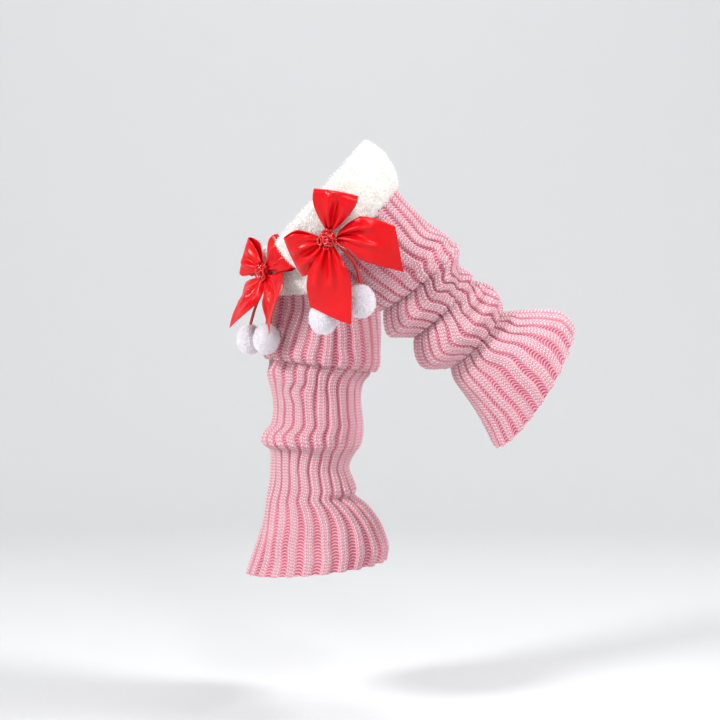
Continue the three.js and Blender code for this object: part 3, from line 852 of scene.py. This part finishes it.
def cuff_surface(warmer, around, side):
    """Points of the cuff's rounded, slightly lumpy band at angles round it and across it."""
    inset = (CUFF_THICK - BACKING_THICK) / 2
    along = CUFF_HEIGHT / 2 - squarer(np.sin(side)) * (CUFF_HEIGHT / 2 - inset)
    table = np.array([[r[k] for k in ("along", "front", "back", "deep")] for r in warmer["cuff"]])
    front, back, deep = (np.interp(along, table[:, 0], table[:, k]) for k in (1, 2, 3))
    reach = squarer(np.cos(side)) * BACKING_THICK / 2
    broad, fine = CUFF_LUMPS
    reach = reach + broad * np.sin(7 * around + 2.1 * side) * np.sin(3 * around + side)
    reach = reach + fine * np.sin(17 * around + 3 * side) * np.sin(11 * around - 2 * side)
    x = (back - front) / 2 + ((front + back) / 2 + reach) * np.cos(around)
    y = -(deep + reach) * np.sin(around)
    return np.stack(np.broadcast_arrays(x, y, -along), axis=-1)


def cuff_normals(warmer, a, b):
    """Unit normals of the cuff's surface, away from the middle of its band."""
    e = 0.01
    da = cuff_surface(warmer, a + e, b) - cuff_surface(warmer, a - e, b)
    db = cuff_surface(warmer, a, b + e) - cuff_surface(warmer, a, b - e)
    normal = unit(np.cross(da, db))
    away = np.stack([np.cos(b) * np.cos(a), -np.cos(b) * np.sin(a), np.sin(b)], axis=-1)
    inward = np.sum(normal * away, axis=1, keepdims=True) < 0
    return np.where(inward, -normal, normal)


def whirls(place):
    """Little curls: neighbours lean the same way and whirl round each other."""
    x, y, z = place.T
    return np.stack(
        [
            np.sin(1.05 * y + 1.3 * np.sin(0.9 * z)) + np.sin(0.63 * z + 1.0),
            np.sin(0.97 * z + 1.1 * np.sin(0.8 * x)) + np.sin(0.71 * x + 2.0),
            np.sin(1.11 * x + 1.2 * np.sin(0.7 * y)) + np.sin(0.58 * y + 4.0),
        ],
        axis=-1,
    )


def plush_cuff(side, warmer, rng):
    """The band's matt backing and the pile on it."""
    rounds, sides = 160, 40
    around = (np.arange(rounds) * math.tau / rounds)[:, None]
    across = (np.arange(sides) * math.tau / sides)[None, :]
    ring = cuff_surface(warmer, around, across).reshape(-1, 3)
    quads = grid_quads(rounds + 1, sides) % len(ring)
    backing = add_mesh(
        side + "_plush_cuff_backing", placed(ring, warmer["place"]), [quads], PLUSH_BACK
    )
    a = rng.uniform(0, math.tau, CUFF_FIBRES)
    anywhere = rng.uniform(0, math.tau, CUFF_FIBRES)
    # most of the pile is on the face that shows, some inside and over the two edges
    keep_face = rng.uniform(0, 1, CUFF_FIBRES) < CUFF_FACE_SHARE
    tall = rng.uniform(-1, 1, CUFF_FIBRES)
    face = np.sign(tall) * np.arcsin(np.abs(tall) ** (1 / EDGE_POWER))
    b = np.where(keep_face, face, anywhere)
    root = cuff_surface(warmer, a, b)
    stray = CUFF_DRIFT["stray"] * rng.normal(size=root.shape)
    drift = CUFF_DRIFT["whirl"] * whirls(root) + stray
    drift[:, 2] -= CUFF_DRIFT["sag"]
    points, faces, uv = fibres(root, cuff_normals(warmer, a, b), drift, **CUFF_FIBRE, rng=rng)
    points = placed(points, warmer["place"])
    pile = add_mesh(side + "_plush_cuff_pile", points, faces, PLUSH_PILE, "fibres", uv)
    return backing, pile


# Pompoms


def even_ball(count, rng):
    """Directions spread evenly over a ball, each a little off its place."""
    k = np.arange(count) + 0.5
    z = 1 - 2 * k / count
    turn = math.pi * (1 + 5**0.5) * k
    level = np.sqrt(1 - z * z)
    ball = np.stack([np.cos(turn) * level, np.sin(turn) * level, z], axis=-1)
    return unit(ball + rng.normal(scale=0.02, size=ball.shape))


def ball_core(size):
    """Points and faces of a round core with a pole at its top and at its bottom."""
    rounds, sides = 40, 24
    across = (np.arange(1, sides) * math.pi / sides)[:, None]
    around = (np.arange(rounds) * math.tau / rounds)[None, :]
    ring, level = np.sin(across), np.cos(across) + 0 * around
    shell = np.stack([ring * np.cos(around), ring * np.sin(around), level], axis=-1) * size
    points = np.concatenate([shell.reshape(-1, 3), [[0, 0, size[2]], [0, 0, -size[2]]]])
    j = np.arange(rounds)
    k = (j + 1) % rounds
    top, low = len(points) - 2, len(points) - 1
    last = (sides - 2) * rounds
    caps = [
        np.stack([np.full(rounds, top), j, k], axis=1),
        np.stack([np.full(rounds, low), last + k, last + j], axis=1),
    ]
    return points, [grid_quads(sides - 1, rounds, flip=True), np.concatenate(caps)]


def pompom(name, centre, rng):
    """The yarn's cut ends round a matt core."""
    size = np.array([POMPOM_WIDE, POMPOM_WIDE, POMPOM_TALL]) / 2
    ball = even_ball(POMPOM_FIBRES, rng)
    lump = 1 + 0.02 * np.sin(5 * ball[:, 0] + 3 * ball[:, 1] + centre[0]) * np.sin(4 * ball[:, 2])
    root = ball * (size - POMPOM_ROOT_INSET) * lump[:, None]
    drift = POMPOM_DRIFT["stray"] * rng.normal(size=root.shape)
    drift[:, 2] -= POMPOM_DRIFT["sag"]
    points, faces, uv = fibres(root, ball, drift, **POMPOM_FIBRE, rng=rng)
    pile = add_mesh(name + "_pile", points + np.array(centre), faces, YARN_PILE, "fibres", uv)
    points, faces = ball_core(size - POMPOM_CORE_INSET)
    core = add_mesh(name + "_core", points + np.array(centre), faces, YARN_CORE)
    return core, pile


# Ribbon bows


def wrapped(heading, distance, aside, lift):
    """Places of the bow at a heading from its knot, bent round a drum as the cuff bends them."""
    turn = math.radians(heading)
    angle = (distance * math.cos(turn) - aside * math.sin(turn)) / WRAP_RADIUS
    y = distance * math.sin(turn) + aside * math.cos(turn)
    radius = WRAP_RADIUS + lift
    return np.stack([radius * np.sin(angle), y, radius * np.cos(angle) - WRAP_RADIUS], axis=-1)


def spread(share, whole):
    """Half the ribbon's width at a share of its reach; it is fully open from `whole` on."""
    opened = np.minimum(1, share / whole) ** 0.85
    # the corner where the ribbon reaches its full width is rounded
    opened = opened - 0.05 * np.exp(-(((share - whole) / 0.12) ** 2))
    return (RIBBON_GATHERED + (RIBBON_WIDTH - RIBBON_GATHERED) * opened) / 2


def strip_quads(along, across):
    """Quads of a ribbon's front, rear and four edges, its rear points following its front ones."""
    rear = along * across
    grid = np.arange(rear).reshape(along, across)
    corners = [grid[:-1, :-1], grid[1:, :-1], grid[1:, 1:], grid[:-1, 1:]]
    front = np.stack(corners, axis=-1).reshape(-1, 4)
    quads = [front, front[:, [0, 3, 2, 1]] + rear]
    for edge in (grid[:, 0], grid[::-1, -1], grid[0, ::-1], grid[-1]):
        quads.append(np.stack([edge[:-1], edge[:-1] + rear, edge[1:] + rear, edge[1:]], axis=-1))
    return np.concatenate(quads)


def ribbon(name, middle, place):
    """A ribbon's two faces and its edges from a grid of middle points."""
    along, across = middle.shape[:2]
    normal = unit(np.cross(np.gradient(middle, axis=0), np.gradient(middle, axis=1)))
    faces = [middle + normal * RIBBON_WALL / 2, middle - normal * RIBBON_WALL / 2]
    points = np.concatenate([face.reshape(-1, 3) for face in faces])
    quads = strip_quads(along, across)
    v, u = np.meshgrid(np.linspace(0, 1, along), np.linspace(0, 1, across), indexing="ij")
    uv = np.tile(np.stack([u.ravel(), v.ravel()], axis=-1), (2, 1))[quads.ravel()]
    return add_mesh(name, place(points), [quads], SATIN, "ribbon", uv)


def pleats(side, share, creases):
    """Gathers that run out from the knot and fade where the ribbon opens, and longer creases."""
    fade = np.exp(-((share / PLEAT_REACH) ** 1.7))
    total = PLEAT_HEIGHT * fade * np.cos(3 * math.pi * side)
    for at, wide, high, reach in creases:
        live = np.sin(math.pi * np.clip((share + 0.10) / (reach + 0.10), 0, 1)) ** 0.8
        total = total + high * live * np.exp(-(((side - at) / wide) ** 2))
    return total


def bow_loop(shape, creases):
    """Middle points of a ribbon that runs out from the knot and back behind itself."""
    turn = np.linspace(0, math.pi, LOOP_STEPS)[:, None]
    out = np.sin(turn) ** 0.8
    # the outer end bows out a little in its middle
    distance = RIBBON_ROOT + (shape["reach"] - RIBBON_ROOT) * out * (1 - LOOP_BOWED * ACROSS**2)
    distance = distance + shape.get("skew", 0) * ACROSS * out
    lift = np.cos(turn) * (LOOP_APART + LOOP_PUFF * np.sin(turn)) + shape["lean"] * out
    front = np.clip(np.cos(turn) * 3 + 0.5, 0, 1)
    pleated = REAR_PLEATS + (1 - REAR_PLEATS) * front
    lift = lift + pleated * pleats(ACROSS, out, creases)
    return wrapped(shape["heading"], distance, ACROSS * spread(out, shape["open"]), lift)


def bow_tail(shape, creases, lean, layer, twist):
    """Middle points of a ribbon that hangs from the knot to its slanting cut."""
    heading = shape["heading"]
    towards = -1 if heading > -90 else 1
    share = np.linspace(0, 1, TAIL_STEPS)[:, None]
    half = spread(share, shape["open"])
    twist = math.radians(twist) * share
    distance = RIBBON_ROOT + (shape["reach"] - RIBBON_ROOT) * share
    distance = distance + shape["cut"] * ACROSS * towards * share
    aside = ACROSS * half * np.cos(twist) + shape["bend"] * np.sin(math.pi * share**0.7)
    arch = shape["crown"] * np.sin(math.pi * share) - shape["curl"] * ACROSS**2 * share
    lift = layer + (lean - layer) * share**1.6 + arch + ACROSS * half * np.sin(twist)
    # the free end rolls a little, each tail's in its own way
    roll = END_ROLL * share * np.sin(2.0 * math.pi * share + 1.6 * ACROSS + heading)
    return wrapped(heading, distance, aside, lift + pleats(ACROSS, share, creases) + roll)


def bow_place(bow, warmer):
    """A function from a bow's own frame to the shared frame."""
    around, facing = math.radians(bow["around"]), math.radians(bow["facing"])
    reach = bow["standoff"]
    knot = np.array([-math.sin(around) * reach, -math.cos(around) * reach, -bow["below"]])
    out = np.array([-math.sin(facing), -math.cos(facing), 0])
    up = np.array([0, 0, 1.0])
    axes = np.stack([np.cross(up, out), up, out])

    def place(points):
        return placed(points @ axes + knot, warmer["place"])

    return place


def swept_ring(path, radius, sides):
    """A round tube along a closed path of points."""
    tangent = unit(np.roll(path, -1, axis=0) - np.roll(path, 1, axis=0))
    side = np.cross(tangent[0], SKEW_WAY)
    angle = np.arange(sides)[:, None] * math.tau / sides
    rings = []
    for point, t in zip(path, tangent):
        side = unit(side - t * np.dot(side, t))
        rings.append(point + radius * (np.cos(angle) * side + np.sin(angle) * np.cross(t, side)))
    # join the last ring to the nearest turn of the first
    shift = int(np.argmin(np.linalg.norm(rings[0] - rings[-1][0], axis=1)))
    j = np.arange(sides)
    k = (j + 1) % sides
    last = (len(path) - 1) * sides
    seam = np.stack([last + j, last + k, (k + shift) % sides, (j + shift) % sides], axis=1)
    return np.concatenate(rings), np.concatenate([grid_quads(len(path), sides), seam])


def knot_gathers():
    """Points of the knot's core, a ball of gathers, and its quads."""
    half_long, half_wide = KNOT_CORE
    rounds, sides = 32, 16
    v = (np.linspace(0.02, 0.98, sides) * math.pi)[:, None]
    w = (np.arange(rounds) * math.tau / rounds)[None, :]
    ring = np.sin(v) * half_wide * (1 + 0.10 * np.cos(6 * w))
    core = np.stack([np.cos(v) * half_long + 0 * w, ring * np.cos(w), ring * np.sin(w)], axis=-1)
    return core.reshape(-1, 3), grid_quads(sides, rounds)


def turn_path(t, shift, tilt, radius):
    """One turn of cord round the knot, a little aslant."""
    across, up = np.cos(t) * radius, np.sin(t) * radius
    return np.stack([shift + tilt * up, across, up], axis=-1)


def loop_path(t, centre, size, lean):
    """One loose loop of cord on the knot's front."""
    c, s = math.cos(lean), math.sin(lean)
    a, b = np.cos(t) * size[0], np.sin(t) * size[1]
    lift = 0.5 * np.sin(2 * t) - 0.12 * a
    return np.stack([a * c - b * s, a * s + b * c, lift], axis=-1) + centre


def bow_knot(name, place):
    """The gathered ribbon's core, with turns of cord round it and small loops of the cord."""
    t = np.linspace(0, math.tau, 48, endpoint=False)
    parts = [swept_ring(turn_path(t, **turn), TURN_RADIUS, 10) for turn in KNOT_TURNS]
    parts += [swept_ring(loop_path(t, **loop), LOOP_RADIUS, 8) for loop in KNOT_LOOPS]
    starts = np.cumsum([0] + [len(points) for points, _ in parts])
    points = place(np.concatenate([points for points, _ in parts]))
    quads = np.concatenate([quads + start for (_, quads), start in zip(parts, starts)])
    cord = add_mesh(name + "_cord_turns", points, [quads], CORD)
    points, quads = knot_gathers()
    uv = np.tile([[0.5, 0.05]], (quads.size, 1))
    core = add_mesh(name + "_gathers", place(points), [quads], SATIN, "ribbon", uv)
    return core, cord


def cord_curve(name, route):
    """A round cord along a smooth line through its route, and the cord's length in metres."""
    data = bpy.data.curves.new(name, "CURVE")
    data.dimensions = "3D"
    data.bevel_depth = CORD_DIAMETER / 2 * MM
    data.bevel_resolution = 3
    data.use_fill_caps = True
    points = np.array(route, dtype=float)
    chord = path_lengths(points)
    line = smooth_curve(chord, points, np.linspace(0, chord[-1], CORD_STEPS))
    spline = data.splines.new("POLY")
    spline.points.add(len(line) - 1)
    for point, place in zip(spline.points, line * MM):
        point.co = (*place, 1)
    spline.use_smooth = True
    return add_object(name, data, CORD), float(path_lengths(line)[-1]) * MM


# Pieces, and the nodes that they stand for


def finished(piece, node):
    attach(piece, "root")
    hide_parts(node)


def hang_pompom(name, route, centre):
    """A cord from the knot and the pompom on its end."""
    rng = np.random.RandomState(POMPOM_SEED + len(name) + int(abs(centre[0])))
    core, pile = pompom(name + "_pompom", centre, rng)
    finished(core, name + "_pompom")
    finished(pile, name + "_pompom")
    cord, length = cord_curve(name + "_cord_line", route)
    finished(cord, name + "_cord")


def tie_bow(side, warmer, bow):
    """Two loops, two tails and the knot."""
    place = bow_place(bow, warmer)
    for part in bow["ribbons"]:
        node = f"{side}_bow_{part['name']}"
        hang = part.get("hang")
        shape, creases = part["shape"], part["creases"]
        middle = bow_tail(shape, creases, **hang) if hang else bow_loop(shape, creases)
        piece = ribbon(node + "_ribbon", middle, place)
        finished(piece, node)
    for piece in bow_knot(side + "_bow_knot", place):
        finished(piece, side + "_bow_knot")


def pull_on(side, warmer, seed):
    """The cuff and the tube that hangs from it."""
    backing, pile = plush_cuff(side, warmer, np.random.RandomState(seed))
    finished(backing, side + "_plush_cuff")
    finished(pile, side + "_plush_cuff")
    tube = knit_tube(side, warmer)
    finished(tube, side + "_knit_tube")


for hanging in HANGING:
    hang_pompom(**hanging)
tie_bow("standing", STANDING, STANDING_BOW)
tie_bow("lifted", LIFTED, LIFTED_BOW)
pull_on("standing", STANDING, seed=21)
pull_on("lifted", LIFTED, seed=22)


# Studio, in metres

CAMERA_PLACE = (0.0368, -1.380, -0.1103)
CAMERA_LENS = 69.45
CAMERA_NEAR = 0.05
FLOOR_Z = -0.455
FLOOR_HOLE = 0.0001
FLOOR_INNER = 0.7
FLOOR_FLAT = 1.5
FLOOR_SWEEP = 1.3
WALL_TOP = 3.4
TARGET = (0.05, -0.05, -0.12)
WALL_TARGET = (0.0, 2.8, 0.3)


def set_camera():
    """Camera, as the photograph was taken: level, looking along +Y."""
    data = bpy.data.cameras.new("camera")
    data.lens = CAMERA_LENS
    data.clip_start = CAMERA_NEAR
    camera = add_object("camera", data)
    camera.location = CAMERA_PLACE
    camera.rotation_euler = (math.radians(90), 0, 0)
    bpy.context.scene.camera = camera


def backdrop():
    """A round floor that sweeps up into a wall on every side."""
    material, _, shader = new_material("backdrop")
    set_inputs(shader, {"Base Color": GREY, "Roughness": 0.9, "Specular IOR Level": 0.1})
    profile = [(FLOOR_HOLE, FLOOR_Z), (FLOOR_INNER, FLOOR_Z)]
    for a in np.linspace(0, math.pi / 2, 13):
        rise = FLOOR_SWEEP * (1 - math.cos(a))
        profile.append((FLOOR_FLAT + FLOOR_SWEEP * math.sin(a), FLOOR_Z + rise))
    profile.append((FLOOR_FLAT + FLOOR_SWEEP, WALL_TOP))
    sides = 72
    around = np.arange(sides) * math.tau / sides
    rings = [
        np.stack([r * np.cos(around), r * np.sin(around), np.full(sides, z)], axis=-1)
        for r, z in profile
    ]
    quads = grid_quads(len(profile), sides)
    return add_mesh("backdrop", np.concatenate(rings), [quads], material, scale=1.0)


def area_light(name, place, target, size, power):
    data = bpy.data.lights.new(name, "AREA")
    data.shape = "DISK"
    data.size = size
    data.energy = power
    lamp = add_object(name, data)
    lamp.location = place
    way = Vector(target) - Vector(place)
    lamp.rotation_euler = way.to_track_quat("-Z", "Y").to_euler()


set_camera()
backdrop()
area_light("key", (-1.5, -1.2, 1.1), TARGET, 0.5, 43)
area_light("rim", (1.5, -0.5, 1.4), TARGET, 0.6, 33)
area_light("front", (0.6, -2.0, 0.9), TARGET, 0.45, 12)
area_light("top", (0.2, 0.1, 1.9), TARGET, 1.0, 8)
area_light("wall", (0.0, 1.0, 2.2), WALL_TARGET, 1.0, 19)

world = bpy.data.worlds.new("studio")
bpy.context.scene.world = world
world.use_nodes = True
set_inputs(world.node_tree.nodes["Background"], {"Color": (1, 1, 1, 1), "Strength": 0.14})
bpy.context.scene.view_settings.view_transform = "Standard"
